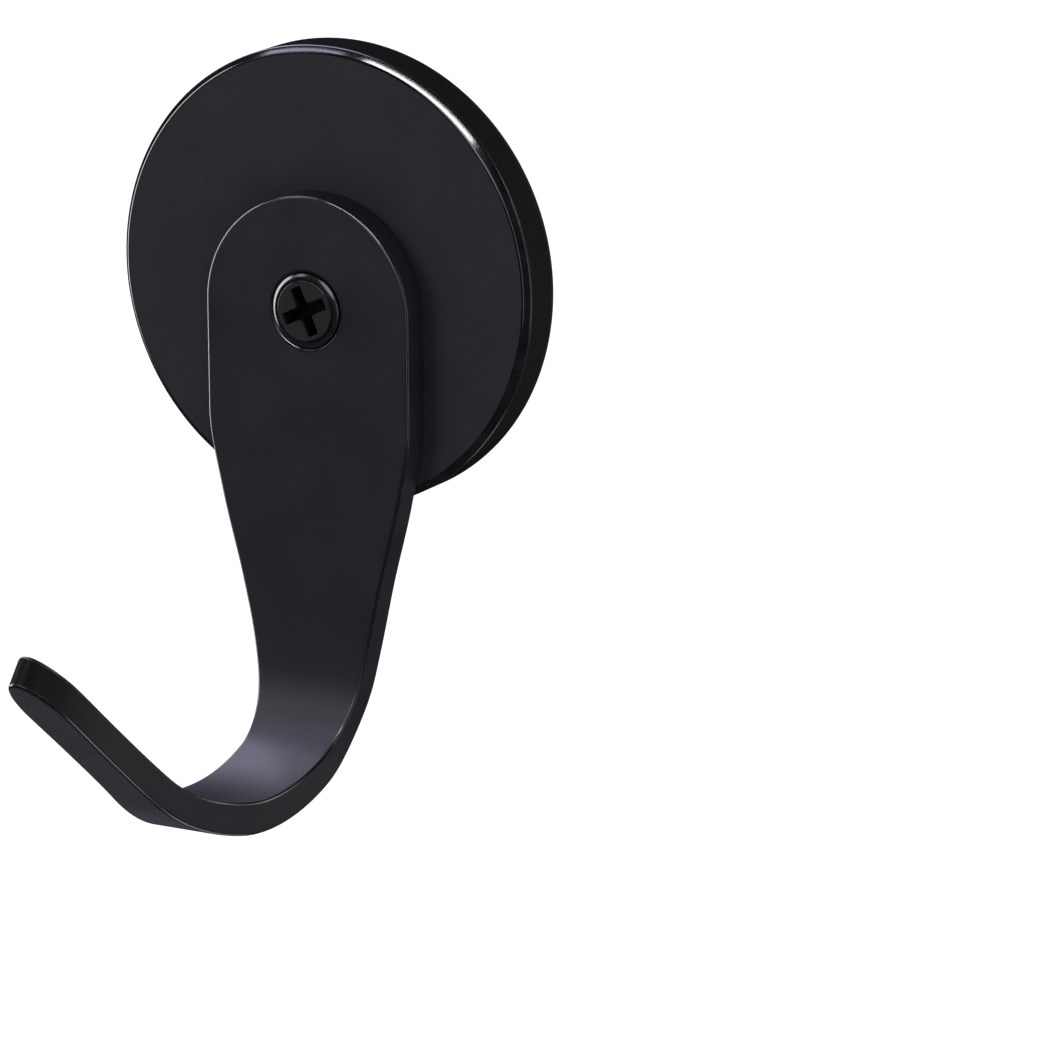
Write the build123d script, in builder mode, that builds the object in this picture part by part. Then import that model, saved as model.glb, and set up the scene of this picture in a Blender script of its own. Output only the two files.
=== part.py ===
from build123d import *
import os
from math import radians, tan

# Magnetic wreath hanger: a tapered steel hook held by one countersunk screw on a rubber covered magnet.
# Millimetres. The flat back of the magnet lies on the door at y = 0, the hook faces -Y and +Z is up.
# The origin is the centre of the magnet's back face.

# Magnet base
base_diameter = 43.0
base_thickness = 5.0
rim_chamfer = 0.55
rim_back_round = 0.4
side_wall = 1.6
front_skin = 0.8
plate_thickness = 1.2
pad_thickness = 0.6
pad_border = 0.9
cavity_clearance = 0.05

# Magnets inside the base
magnet_count = 8
magnet_share = 0.21
magnet_margin = 0.9
magnet_bevel = 0.2

# Screw and its threaded bush
screw_drop = 2.4
thread_diameter = 4.0
thread_clearance = 0.05
screw_length = 6.0
screw_tip_bevel = 0.4
bush_diameter = 7.0
bush_flange_diameter = 9.6
bush_flange_thickness = 1.0
bush_floor = 0.5
screw_tip_room = 0.4

# Screw head
head_diameter = 6.9
head_angle = 90.0
head_top_share = 0.82
head_proud = 0.3
head_groove = 0.2
head_groove_depth = 0.2
head_bead_drop = 0.12
head_edge = 0.06
cross_span = 4.7
cross_arm = 1.15
cross_depth = 1.5
cross_corner = 0.3
cross_draft_angle = 7.0
cross_turn_angle = 24.0

# Hook strap
strap_thickness = 3.0
strap_width = 21.3
strap_straight_drop = 10.3
strap_hole_clearance = 0.25
sink_clearance = 0.25
edge_round = 0.3

# Side view of the strap, along its front face: three tangent arcs and a straight leg
bend_drop = 28.5
entry_radius = 37.0
entry_angle = 8.7
crook_radius = 8.0
crook_angle = 61.9
exit_radius = 23.3
exit_angle = 59.1
leg_length = 24.6

# Widths of the strap where it narrows, and the length of its rounded tip
crown_width = 8.9
leg_width = 4.4
tip_width = 4.6
tip_nose_length = 6.5
cut_overrun = 2.0

# Seen from the front, the taper runs from the straight sides down to the lowest point of the crook.
# Each pair is a share of that run and a share of the loss in half width.
taper_shares = [(0.225, 0.192), (0.5, 0.544), (0.78, 0.833)]

# Seen square on, the leg narrows from the lowest point of the crook to the tip.
# Each pair is a share of that reach and a share of the loss in half width.
leg_shares = [(0.18, 0.6), (0.38, 0.93), (0.65, 1.0)]

base_radius = base_diameter / 2
plate_radius = base_radius - side_wall
pad_radius = base_radius - pad_border
magnet_height = base_thickness - front_skin - plate_thickness - pad_thickness
magnet_radius = magnet_share * base_radius
magnet_ring_radius = plate_radius - magnet_margin - magnet_radius
plate_back = pad_thickness + magnet_height
plate_front = plate_back + plate_thickness
strap_front = base_thickness + strap_thickness
strap_half = strap_width / 2
thread_radius = thread_diameter / 2
bush_radius = bush_diameter / 2
bush_bore_depth = screw_length - strap_thickness + screw_tip_room
bush_length = bush_bore_depth + bush_floor
screw_z = -screw_drop

# Planes that face the front of the hanger, by their height above the door
door_plane = Plane.XZ
magnet_plane = Plane.XZ.offset(pad_thickness)
plate_plane = Plane.XZ.offset(plate_back)
skin_plane = Plane.XZ.offset(plate_front)
base_front_plane = Plane.XZ.offset(base_thickness)
strap_front_plane = Plane.XZ.offset(strap_front)
head_top_plane = Plane.XZ.offset(strap_front + head_proud)
screw_axis = Axis((0, 0, screw_z), (0, -1, 0))
magnet_places = [tuple(place.position)[:2] for place in PolarLocations(magnet_ring_radius, magnet_count).locations]

os.makedirs("parts", exist_ok=True)

# Rubber cover: front skin, side wall and the web between the magnets in one moulding
with BuildPart() as rubber_cover:
    with BuildSketch(door_plane):
        Circle(base_radius)
    extrude(amount=base_thickness)
    chamfer(rubber_cover.edges().group_by(Axis.Y)[0], rim_chamfer)
    fillet(rubber_cover.edges().group_by(Axis.Y)[-1], rim_back_round)
    with BuildSketch(door_plane):
        Circle(pad_radius)
    extrude(amount=pad_thickness, mode=Mode.SUBTRACT)
    with BuildSketch(plate_plane):
        Circle(plate_radius + cavity_clearance)
    extrude(amount=plate_thickness, mode=Mode.SUBTRACT)
    with BuildSketch(magnet_plane):
        with PolarLocations(magnet_ring_radius, magnet_count):
            Circle(magnet_radius + cavity_clearance)
    extrude(amount=magnet_height, mode=Mode.SUBTRACT)
    with BuildSketch(base_front_plane):
        with Locations((0, screw_z)):
            Circle(bush_radius + cavity_clearance)
    extrude(amount=-bush_length, mode=Mode.SUBTRACT)
    with BuildSketch(plate_plane):
        with Locations((0, screw_z)):
            Circle(bush_flange_diameter / 2 + cavity_clearance)
    extrude(amount=-bush_flange_thickness, mode=Mode.SUBTRACT)
rubber_cover.part.label = "rubber_cover"
export_step(rubber_cover.part, "parts/rubber_cover.step")

# Grip pad: thin rubber disc that closes the back and lies on the door
with BuildPart() as grip_pad:
    with BuildSketch(door_plane):
        Circle(pad_radius - cavity_clearance)
    extrude(amount=pad_thickness)
grip_pad.part.label = "grip_pad"
export_step(grip_pad.part, "parts/grip_pad.step")

# Backing plate: steel disc that the magnets sit on, with the hole for the bush
with BuildPart() as backing_plate:
    with BuildSketch(plate_plane):
        Circle(plate_radius)
        with Locations((0, screw_z)):
            Circle(bush_radius, mode=Mode.SUBTRACT)
    extrude(amount=plate_thickness)
backing_plate.part.label = "backing_plate"
export_step(backing_plate.part, "parts/backing_plate.step")

# Threaded bush: blind nut with a flange behind the plate, its front flush with the rubber
with BuildPart() as threaded_bush:
    with BuildSketch(base_front_plane):
        with Locations((0, screw_z)):
            Circle(bush_radius)
    extrude(amount=-bush_length)
    with BuildSketch(plate_plane):
        with Locations((0, screw_z)):
            Circle(bush_flange_diameter / 2)
    extrude(amount=-bush_flange_thickness)
    with Locations(Plane((0, -base_thickness, screw_z), x_dir=(1, 0, 0), z_dir=(0, -1, 0))):
        Hole(thread_radius, depth=bush_bore_depth)
threaded_bush.part.label = "threaded_bush"
export_step(threaded_bush.part, "parts/threaded_bush.step")

# Magnets: flat discs in a ring on the plate
for number, place in enumerate(magnet_places, start=1):
    with BuildPart() as magnet:
        with BuildSketch(magnet_plane):
            with Locations(place):
                Circle(magnet_radius)
        extrude(amount=magnet_height)
        chamfer(magnet.edges().filter_by(GeomType.CIRCLE), magnet_bevel)
    magnet_name = "magnet_" + str(number)
    magnet.part.label = magnet_name
    export_step(magnet.part, "parts/" + magnet_name + ".step")

# Clamp screw: countersunk head with a beaded rim and a cross recess
head_radius = head_diameter / 2
head_top_radius = head_top_share * head_radius
shank_radius = thread_radius - thread_clearance
cone_depth = (head_radius - shank_radius) / tan(radians(head_angle / 2))
head_seat = strap_front - head_edge
bead_inner = head_top_radius + head_groove
bead_top = strap_front + head_proud - head_bead_drop
screw_end = strap_front - screw_length
with BuildPart() as clamp_screw:
    with BuildSketch(Plane.XY.offset(screw_z)):
        with BuildLine():
            Polyline(
                (0, -screw_end),
                (shank_radius - screw_tip_bevel, -screw_end),
                (shank_radius, -(screw_end + screw_tip_bevel)),
                (shank_radius, -(head_seat - cone_depth)),
                (head_radius, -head_seat),
                (head_radius, -strap_front),
            )
            RadiusArc((head_radius, -strap_front), (bead_inner, -bead_top), head_radius - bead_inner)
            Polyline(
                (bead_inner, -bead_top),
                (bead_inner, -(strap_front + head_proud - head_groove_depth)),
                (head_top_radius, -(strap_front + head_proud - head_groove_depth)),
                (head_top_radius, -(strap_front + head_proud)),
                (0, -(strap_front + head_proud)),
                (0, -screw_end),
            )
        make_face()
    revolve(axis=screw_axis)
    with BuildSketch(head_top_plane) as cross:
        with Locations(Location((0, screw_z), cross_turn_angle)):
            Rectangle(cross_span, cross_arm)
            Rectangle(cross_arm, cross_span)
        fillet(cross.vertices().sort_by_distance((0, screw_z))[:4], cross_corner)
    extrude(amount=-cross_depth, taper=cross_draft_angle, mode=Mode.SUBTRACT)
clamp_screw.part.label = "clamp_screw"
export_step(clamp_screw.part, "parts/clamp_screw.step")

# Hook strap, side view: the front face line and a band of one thickness behind it
with BuildPart() as hook_strap:
    with BuildSketch(Plane.YZ) as side_view:
        with BuildLine() as front_line:
            upright = Line((-strap_front, screw_z + strap_half), (-strap_front, screw_z - bend_drop))
            entry = JernArc(upright @ 1, upright % 1, entry_radius, -entry_angle)
            crook = JernArc(entry @ 1, entry % 1, crook_radius, -crook_angle)
            rise = JernArc(crook @ 1, crook % 1, exit_radius, -exit_angle)
            leg = Line(rise @ 1, rise @ 1 + leg_length * (rise % 1))
            offset(amount=strap_thickness, side=Side.LEFT)
        make_face()
    extrude(amount=strap_half, both=True)

crown_y = rise.arc_center.X
crown_z = hook_strap.part.bounding_box().min.Z
crown_top_z = crown_z + strap_thickness
taper_start = screw_z - strap_straight_drop
taper_run = taper_start - crown_top_z
crown_half = crown_width / 2
leg_half = leg_width / 2
tip_half = tip_width / 2
taper_points = [
    (strap_half - loss * (strap_half - crown_half), taper_start - run * taper_run) for run, loss in taper_shares
]

# The leg's own plane: its origin is the tip of the front face, its second direction points along the leg
leg_tip = Vector(0, (leg @ 1).X, (leg @ 1).Y)
leg_direction = Vector(0, (leg % 1).X, (leg % 1).Y)
leg_plane = Plane(leg_tip, x_dir=(1, 0, 0), z_dir=Vector(1, 0, 0).cross(leg_direction))
leg_reach = (leg_tip - Vector(0, crown_y, crown_z)).dot(leg_direction)
leg_run = leg_reach - strap_thickness
leg_points = [
    (crown_half - loss * (crown_half - leg_half), (run - 1) * leg_run) for run, loss in leg_shares
]

# Front outline: round top, straight sides and taper, behind the lowest point of the crook
with BuildPart() as front_outline:
    with BuildSketch(Plane.XZ.offset(-crown_y)):
        with BuildLine():
            top = CenterArc((0, screw_z), strap_half, 0, 90)
            side = Line(top @ 0, (strap_half, taper_start))
            taper = Spline(side @ 1, *taper_points, (crown_half, crown_top_z), tangents=[(0, -1), (0, -1)])
            foot = Line(taper @ 1, (crown_half, crown_z - cut_overrun))
            Line(foot @ 1, (0, crown_z - cut_overrun))
            mirror(about=Plane.YZ)
        make_face()
    extrude(amount=crown_y)

# Leg outline: the leg seen square on, from the lowest point of the crook to the round tip
with BuildPart() as leg_outline:
    with BuildSketch(leg_plane):
        with BuildLine():
            heel = Polyline((0, -leg_reach), (crown_half, -leg_reach), (crown_half, -leg_run))
            narrowing = Spline(heel @ 1, *leg_points, (tip_half, -tip_nose_length), tangents=[(0, 1), (0, 1)])
            nose = EllipticalCenterArc((0, -tip_nose_length), tip_half, tip_nose_length, start_angle=0, arc_size=90)
            mirror(about=Plane.YZ)
        make_face()
    extrude(amount=leg_reach, both=True)

with hook_strap:
    add(front_outline.part + leg_outline.part, mode=Mode.INTERSECT)
    bent_faces = hook_strap.faces().filter_by(lambda face: len(face.edges().filter_by(Axis.X)) > 0)
    fillet(bent_faces.edges().filter_by(Axis.X, reverse=True), edge_round)
    with Locations(Plane((0, -strap_front, screw_z), x_dir=(1, 0, 0), z_dir=(0, -1, 0))):
        CounterSinkHole(
            radius=thread_radius + strap_hole_clearance,
            counter_sink_radius=head_radius + sink_clearance,
            depth=strap_thickness + cut_overrun,
            counter_sink_angle=head_angle,
        )
hook_strap.part.label = "hook_strap"
export_step(hook_strap.part, "parts/hook_strap.step")
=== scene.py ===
# %% [markdown]
# # A black magnetic wreath hook
# The real object is a round magnet in a black rubber cover, with a flat steel strap screwed to its front. The strap is
# wide and round at the top, narrows on its way down and is bent forward and up into a hook.
# This lesson dresses a finished CAD model of it. The CAD pieces arrive first, as a frame that never moves, and each
# visible piece is then laid over its CAD piece as a smooth skin with a material of its own.

import bpy
import numpy as np
from mathutils import Matrix, Vector


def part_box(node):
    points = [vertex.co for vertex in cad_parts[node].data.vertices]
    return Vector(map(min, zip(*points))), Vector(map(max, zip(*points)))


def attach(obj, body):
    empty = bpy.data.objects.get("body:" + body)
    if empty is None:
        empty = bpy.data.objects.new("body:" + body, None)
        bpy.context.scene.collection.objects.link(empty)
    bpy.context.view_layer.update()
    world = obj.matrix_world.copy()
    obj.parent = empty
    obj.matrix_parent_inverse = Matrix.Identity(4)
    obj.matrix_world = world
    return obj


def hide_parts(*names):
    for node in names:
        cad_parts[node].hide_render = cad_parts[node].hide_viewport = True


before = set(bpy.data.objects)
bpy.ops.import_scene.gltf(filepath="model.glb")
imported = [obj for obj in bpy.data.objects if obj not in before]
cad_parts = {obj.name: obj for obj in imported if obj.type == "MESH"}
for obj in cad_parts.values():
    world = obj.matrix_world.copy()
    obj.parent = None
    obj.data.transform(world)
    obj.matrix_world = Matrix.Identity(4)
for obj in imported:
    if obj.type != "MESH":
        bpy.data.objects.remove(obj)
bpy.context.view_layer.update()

print("CAD pieces:", ", ".join(sorted(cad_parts)))

# %% [markdown]
# ## Sizes
# A real hook is drawn in millimetres and Blender works in metres, so every shape below is worked out in millimetres and
# multiplied by one factor when it becomes a mesh. The door is the plane y = 0, the hook comes forward along -Y and +Z
# is up. The values are the ones the CAD pieces were made with.

# %% Sizes in millimetres
MM = 0.001
BASE_RADIUS, BASE_THICKNESS = 21.5, 5.0
RIM_CHAMFER, RIM_BACK_ROUND = 0.55, 0.4
PAD_RADIUS, PAD_THICKNESS = 20.6, 0.6
SCREW_Z = -2.4
BUSH_RADIUS, BUSH_LENGTH = 3.5, 3.9
STRAP_THICKNESS = 3.0
STRAP_FRONT = BASE_THICKNESS + STRAP_THICKNESS
STRAP_HALF = 10.65
EDGE_ROUND = 0.3
for node in ("rubber_cover", "hook_strap", "clamp_screw"):
    low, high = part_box(node)
    print(node, "measures", [round((high[i] - low[i]) / MM, 2) for i in range(3)], "mm")

# %% [markdown]
# ## A skin made of rings
# Every piece here can be drawn as rings of points, one inside or behind the next, like the hoops of a barrel. Blender
# could spin a profile or loft curves instead, but rings also carry the odd shapes: a cross recess inside a round head,
# or a hole in a strap. The small class keeps the points, sews neighbouring rings with four-sided faces and closes the
# ends with fans. Each point also carries an edge value that the materials read later: 1 on a polished edge, 0 on a flat
# face, and below 0 for painted shade on the disc's side wall, on the strap's side near its tip and down in the screw's
# recess, where the colour is painted towards near black and the gloss fades.

# %% The ring skin
class Skin:
    """Points and faces of one closed skin; rings are index arrays that run the same way round."""

    def __init__(self):
        self.parts, self.wear, self.faces, self.count = [], [], [], 0

    def ring(self, x, y, z, wear=0.0):
        """Adds a row of points. Each value is an array or a single number; x, y and z are in millimetres."""
        row = np.stack(np.broadcast_arrays(np.atleast_1d(x), y, z), axis=-1).astype(float)
        self.parts.append(row)
        # wear is the edge value: polish above 0, painted shade below 0.
        self.wear.append(np.broadcast_to(np.asarray(wear, float), len(row)))
        self.count += len(row)
        return np.arange(self.count - len(row), self.count)

    def sew(self, outer, inner, closed=True):
        """Joins two rows of the same length: inner, outer, next outer, next inner."""
        quads = np.stack([inner, outer, np.roll(outer, -1), np.roll(inner, -1)], axis=-1)
        self.faces += (quads if closed else quads[:-1]).tolist()

    def sew_all(self, rows):
        """Joins a list of rings, each to the next."""
        for outer, inner in zip(rows[:-1], rows[1:]):
            self.sew(outer, inner)

    def fan(self, ring, point, flip=False, closed=True):
        """Closes a ring, or a row, with triangles that meet in one point."""
        after = np.roll(ring, -1)
        near, far = (after, ring) if flip else (ring, after)
        tris = np.stack([near, far, np.full(len(ring), point)], axis=-1)
        self.faces += (tris if closed else tris[:-1]).tolist()

    def volume(self, points):
        """Signed volume: the sum of the tetrahedra from the origin to every triangle of the skin."""
        total = 0.0
        for corners in (3, 4):
            faces = np.array([f for f in self.faces if len(f) == corners])
            for last in range(2, corners if len(faces) else 0):
                a, b, c = (points[faces[:, i]] for i in (0, last - 1, last))
                total += np.einsum("ij,ij->i", a, np.cross(b, c)).sum() / 6
        return total

    def piece(self, name, sharp_angle=38.0):
        """Turns the skin into an object whose faces point outwards."""
        points = np.concatenate(self.parts)
        volume = self.volume(points)
        faces = self.faces if volume > 0 else [face[::-1] for face in self.faces]
        mesh = bpy.data.meshes.new(name)
        mesh.from_pydata((points * MM).tolist(), [], faces)
        mesh.update()
        mesh.shade_smooth()
        mesh.set_sharp_from_angle(angle=np.radians(sharp_angle))
        wear = mesh.attributes.new("edge_wear_and_shade", "FLOAT", "POINT")
        wear.data.foreach_set("value", np.concatenate(self.wear).astype(np.float32))
        made = bpy.data.objects.new(name, mesh)
        bpy.context.scene.collection.objects.link(made)
        print(name, len(points), "points,", len(faces), "faces,", round(abs(volume), 1), "cubic millimetres")
        return made


# %% [markdown]
# ## Small roundings on a profile
# No moulded or machined edge is perfectly sharp, and it is the tiny round on an edge that catches the light. A profile
# is drawn as straight runs, then each corner is replaced by an arc that touches both runs.

# %% Rounded profiles
def rounded_profile(corners, rounds, steps=5):
    """Each corner with a radius r becomes an arc that starts and ends on the two runs, r times the tangent of
    half the turn away from the corner. Its points lie at r from its centre. Also marks the points on an arc."""
    corners = np.array(corners, float)
    points, on_arc = [corners[:1]], [np.zeros(1)]
    for before, corner, after, radius in zip(corners[:-2], corners[1:-1], corners[2:], rounds):
        if not radius:
            points.append(corner[None])
            on_arc.append(np.zeros(1))
            continue
        back, ahead = before - corner, after - corner
        back, ahead = back / np.linalg.norm(back), ahead / np.linalg.norm(ahead)
        half = np.arccos(np.clip(back @ ahead, -1, 1)) / 2
        middle = (back + ahead) / np.linalg.norm(back + ahead)
        centre = corner + middle * radius / np.sin(half)
        first = corner + back * radius / np.tan(half) - centre
        last = corner + ahead * radius / np.tan(half) - centre
        share = np.linspace(0, 1, steps + 1)[:, None]
        sweep = np.pi - 2 * half
        arc = (np.sin((1 - share) * sweep) * first + np.sin(share * sweep) * last) / np.sin(sweep)
        points.append(centre + arc)
        on_arc.append(np.ones(steps + 1))
    points.append(corners[-1:])
    on_arc.append(np.zeros(1))
    return np.concatenate(points), np.concatenate(on_arc)


def turned_rings(skin, profile, on_arc, angles, centre=0.0):
    """Carries a profile of (radius, depth) round the Y axis: x = radius cos, z = radius sin, y = -depth."""
    cosine, sine = np.cos(angles), np.sin(angles)
    return [skin.ring(r * cosine, -h, centre + r * sine, wear) for (r, h), wear in zip(profile, on_arc)]


# %% [markdown]
# ## The rubber cover
# The magnet is wrapped in black rubber, moulded in one piece: a flat matt front, a narrow shiny chamfer round it and a
# plain side. A cylinder with a bevel would do from afar, but it has no hole for the screw's bush and no recess for the
# pad at the back. So the skin runs from the bottom of the bush hole, out over the front, round the rim and into the
# recess. The hole sits below the centre, so the rings of the front face drift from its centre to the disc's centre.
# Two holding rings stand close to each rounded edge, so that the smooth shading stays flat on the faces beside it.

# %% The cover's skin
# The disc's side wall gets painted shade: its colour goes most of the way to near black and its gloss fades.
SIDE_PAINTED_SHADE = -0.75


def front_face_rings(skin, angles, depth, inner, outer, inner_z, steps):
    """Circles from the hole to the rim: radius and centre both go evenly from the hole's to the disc's."""
    share = np.linspace(0, 1, steps + 1)
    radii, centres = inner + share * (outer - inner), inner_z * (1 - share)
    return [skin.ring(r * np.cos(angles), -depth, c + r * np.sin(angles)) for r, c in zip(radii, centres)]


def cover_skin(columns=288, hole_play=0.05, lip=0.08, hold=0.16):
    """Hole, front face, chamfer, side, back rim and pad recess, each a run of one continuous row of rings."""
    skin = Skin()
    angles = np.linspace(0, 2 * np.pi, columns, endpoint=False)
    hole = BUSH_RADIUS + hole_play
    bottom = BASE_THICKNESS - BUSH_LENGTH
    hole_line = [(hole / 2, bottom), (hole, bottom), (hole, BASE_THICKNESS), (hole + hold, BASE_THICKNESS)]
    hole_rings = turned_rings(skin, *rounded_profile(hole_line, [0, lip]), angles, SCREW_Z)
    face_edge = BASE_RADIUS - RIM_CHAMFER - hold
    face_rings = front_face_rings(skin, angles, BASE_THICKNESS, hole + 2 * hold, face_edge, SCREW_Z, 9)
    rim_line = [
        (face_edge + hold / 2, BASE_THICKNESS),
        (BASE_RADIUS - RIM_CHAMFER, BASE_THICKNESS),
        (BASE_RADIUS, BASE_THICKNESS - RIM_CHAMFER),
        (BASE_RADIUS, BASE_THICKNESS - RIM_CHAMFER - 2 * hold),
        (BASE_RADIUS, RIM_BACK_ROUND + 2 * hold),
        (BASE_RADIUS, 0),
        (PAD_RADIUS, 0),
        (PAD_RADIUS, PAD_THICKNESS),
        (PAD_RADIUS / 2, PAD_THICKNESS),
    ]
    rim, on_arc = rounded_profile(rim_line, [4 * lip, 3 * lip, 0, 0, RIM_BACK_ROUND, lip, lip])
    polished = np.where(rim[:, 1] > BASE_THICKNESS / 2, on_arc, 0.0)
    # The straight side rows carry that painted shade, the rounds of the front edge carry polish.
    painted_shade_side = (rim[:, 0] == BASE_RADIUS) & (on_arc == 0)
    rim_rings = turned_rings(skin, rim, np.where(painted_shade_side, SIDE_PAINTED_SHADE, polished), angles)
    skin.sew_all(hole_rings + face_rings + rim_rings)
    skin.fan(hole_rings[0], skin.ring(0, -bottom, SCREW_Z)[0])
    skin.fan(rim_rings[-1], skin.ring(0, -PAD_THICKNESS, 0)[0], flip=True)
    return skin


cover = cover_skin().piece("cover_skin")

# %% [markdown]
# ## The grip pad
# A thin rubber disc closes the back and keeps the magnet from scratching the door. It lies a hair below the rim, with
# a soft edge, so a fine line shows round it.

# %% The pad's skin
def pad_skin(columns=192, gap=0.05, soft=0.18, rows=6):
    """A flat disc: the inner face, a rounded edge and the face on the door, closed in both middles."""
    skin = Skin()
    angles = np.linspace(0, 2 * np.pi, columns, endpoint=False)
    radius = PAD_RADIUS - gap
    spread = np.linspace(radius / rows, radius - 2 * soft, rows)
    inner_line = [(r, PAD_THICKNESS) for r in spread]
    outer_line = [(r, 0.0) for r in spread[::-1]]
    line = inner_line + [(radius, PAD_THICKNESS), (radius, 0.0)] + outer_line
    rounds = [0] * (rows - 1) + [soft / 2, soft] + [0] * (rows - 1)
    rings = turned_rings(skin, *rounded_profile(line, rounds), angles)
    skin.sew_all(rings)
    skin.fan(rings[0], skin.ring(0, -PAD_THICKNESS, 0)[0])
    skin.fan(rings[-1], skin.ring(0, 0, 0)[0], flip=True)
    return skin


pad = pad_skin().piece("pad_skin")

# %% [markdown]
# ## The line of the strap
# The strap is flat bar, bent over rollers. Its front face follows one line: straight down the door, three arcs that
# turn it forward and up, and a straight leg. A point is found by how far along that line it lies and how deep below
# the front face, so a flat drawing can be bent into the hook without stretching it at the front.

# %% The bent line
BEND_RADII = np.array([37.0, 8.0, 23.3])
BEND_ANGLES = np.radians([8.7, 61.9, 59.1])
UPRIGHT, LEG = STRAP_HALF + 28.5, 24.6
runs = np.concatenate([[UPRIGHT], BEND_RADII * BEND_ANGLES, [LEG]])
run_starts = np.concatenate([[0.0], np.cumsum(runs)[:-1]])
curvatures = np.concatenate([[0.0], 1 / BEND_RADII, [0.0]])
headings = np.concatenate([[0.0, 0.0], np.cumsum(BEND_ANGLES)])
STRAP_LENGTH = runs.sum()


def strap_place(along, deep):
    """(y, z) of a point. The heading h grows by curvature times length. A straight run adds its length times
    (-sin h, -cos h), an arc the change of (cos h, -sin h) over its curvature, depth adds (cos h, -sin h)."""
    y, z = np.full(np.shape(along), -STRAP_FRONT), np.full(np.shape(along), SCREW_Z + STRAP_HALF)
    heading = np.zeros(np.shape(along))
    for start, length, curvature, first in zip(run_starts, runs, curvatures, headings):
        part = np.clip(along - start, 0, length)
        turn = first + curvature * part
        heading = heading + curvature * part
        if curvature:
            y = y + (np.cos(turn) - np.cos(first)) / curvature
            z = z - (np.sin(turn) - np.sin(first)) / curvature
        else:
            y, z = y - np.sin(first) * part, z - np.cos(first) * part
    return y + deep * np.cos(heading), z - deep * np.sin(heading)


tip_y, tip_z = strap_place(STRAP_LENGTH, 0.0)
print("strap line", round(STRAP_LENGTH, 1), "mm, ends at", round(float(tip_y), 1), round(float(tip_z), 1))

# %% [markdown]
# ## The width of the strap
# Seen from the front, the strap keeps its full width beside the screw and then tapers. Past its lowest point the leg
# tapers again towards a round tip. Both tapers are smooth curves through a few measured widths. The strap was cut
# straight through, so the width depends on where a point ends up in space, not on its depth.

# %% Widths along the strap
def smooth_curve(at, knots, values):
    """A cubic between neighbouring knots. The slope at a knot is the weighted mean of the two chords beside it,
    and the curve is level at both ends."""
    knots, values = np.array(knots), np.array(values)
    steps = np.diff(knots)
    chords = np.diff(values) / steps
    slopes = np.zeros(len(knots))
    slopes[1:-1] = (chords[:-1] * steps[1:] + chords[1:] * steps[:-1]) / (steps[1:] + steps[:-1])
    i = np.clip(np.searchsorted(knots, at, side="right") - 1, 0, len(steps) - 1)
    t = np.clip((at - knots[i]) / steps[i], 0, 1)
    rise = values[i + 1] - values[i]
    near, far = slopes[i] * steps[i], slopes[i + 1] * steps[i]
    return values[i] + near * t + (3 * rise - 2 * near - far) * t**2 + (near + far - 2 * rise) * t**3


CROWN_HALF, LEG_HALF, TIP_HALF, TIP_NOSE = 4.45, 2.2, 2.3, 6.5
FULL_WIDTH_BELOW_SCREW = 10.3
crown_at = run_starts[3] + BEND_RADII[2] * (np.pi / 2 - headings[3])
crown_y = strap_place(crown_at, 0.0)[0]
crown_z = strap_place(crown_at, STRAP_THICKNESS)[1]
taper_top = SCREW_Z - FULL_WIDTH_BELOW_SCREW
taper_run = taper_top - crown_z - STRAP_THICKNESS
leg_y, leg_z = -np.sin(headings[4]), -np.cos(headings[4])
leg_run = (tip_y - crown_y) * leg_y + (tip_z - crown_z) * leg_z - STRAP_THICKNESS
taper_shares, taper_losses = np.array([0, 0.225, 0.5, 0.78, 1]), np.array([0, 0.192, 0.544, 0.833, 1])
taper_drops = taper_shares * taper_run - taper_top
taper_halves = STRAP_HALF - taper_losses * (STRAP_HALF - CROWN_HALF)
leg_shares, leg_losses = np.array([0, 0.18, 0.38, 0.65]), np.array([0, 0.6, 0.93, 1])
leg_places = np.append((leg_shares - 1) * leg_run, -TIP_NOSE)
leg_halves = np.append(CROWN_HALF - leg_losses * (CROWN_HALF - LEG_HALF), TIP_HALF)


def half_width(y, z):
    """Half the width: by the height behind the lowest point, by the reach along the leg in front of it."""
    behind = smooth_curve(-z, taper_drops, taper_halves)
    reach = (y - tip_y) * leg_y + (z - tip_z) * leg_z
    return np.where(y >= crown_y, behind, smooth_curve(reach, leg_places, leg_halves))


print("lowest point at y", round(float(crown_y), 2), "and z", round(float(crown_z), 2), "mm")

# %% [markdown]
# ## The outline of the strap
# The flat drawing's outline starts at the top, goes down the right side, round the tip and back up the left. The
# points lie closer together where the strap bends. At each point the outward direction is square to the line through
# its two neighbours, and an inset moves the point against it. That gives the rounded edge one even width all round.

# %% The outline
def side_points():
    """Distances and half widths down the right side: a quarter circle, the runs of the line, a quarter of the
    ellipse that rounds the tip."""
    top = np.linspace(0, np.pi / 2, 41)
    taper_start, nose_start = STRAP_HALF + FULL_WIDTH_BELOW_SCREW, STRAP_LENGTH - TIP_NOSE
    stops = [STRAP_HALF, taper_start, UPRIGHT, *(run_starts[2:]), nose_start]
    counts = [12, 26, 10, 48, 44, 26]
    sides = [np.linspace(a, b, n + 1)[1:] for a, b, n in zip(stops[:-1], stops[1:], counts)]
    nose = np.linspace(0, np.pi / 2, 25)[1:]
    nose_along = STRAP_LENGTH - TIP_NOSE * (1 - np.sin(nose))
    along = np.concatenate([STRAP_HALF * (1 - np.cos(top)), *sides, nose_along])
    on_side = np.concatenate([np.zeros(len(top)), np.ones(sum(counts)), np.zeros(len(nose))])
    round_part = np.concatenate([STRAP_HALF * np.sin(top), np.zeros(sum(counts)), TIP_HALF * np.cos(nose)])
    return along, on_side, round_part


right_along, right_on_side, right_round = side_points()
HALF_COUNT = len(right_along) - 1
LOOP_COUNT = 2 * HALF_COUNT


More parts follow.
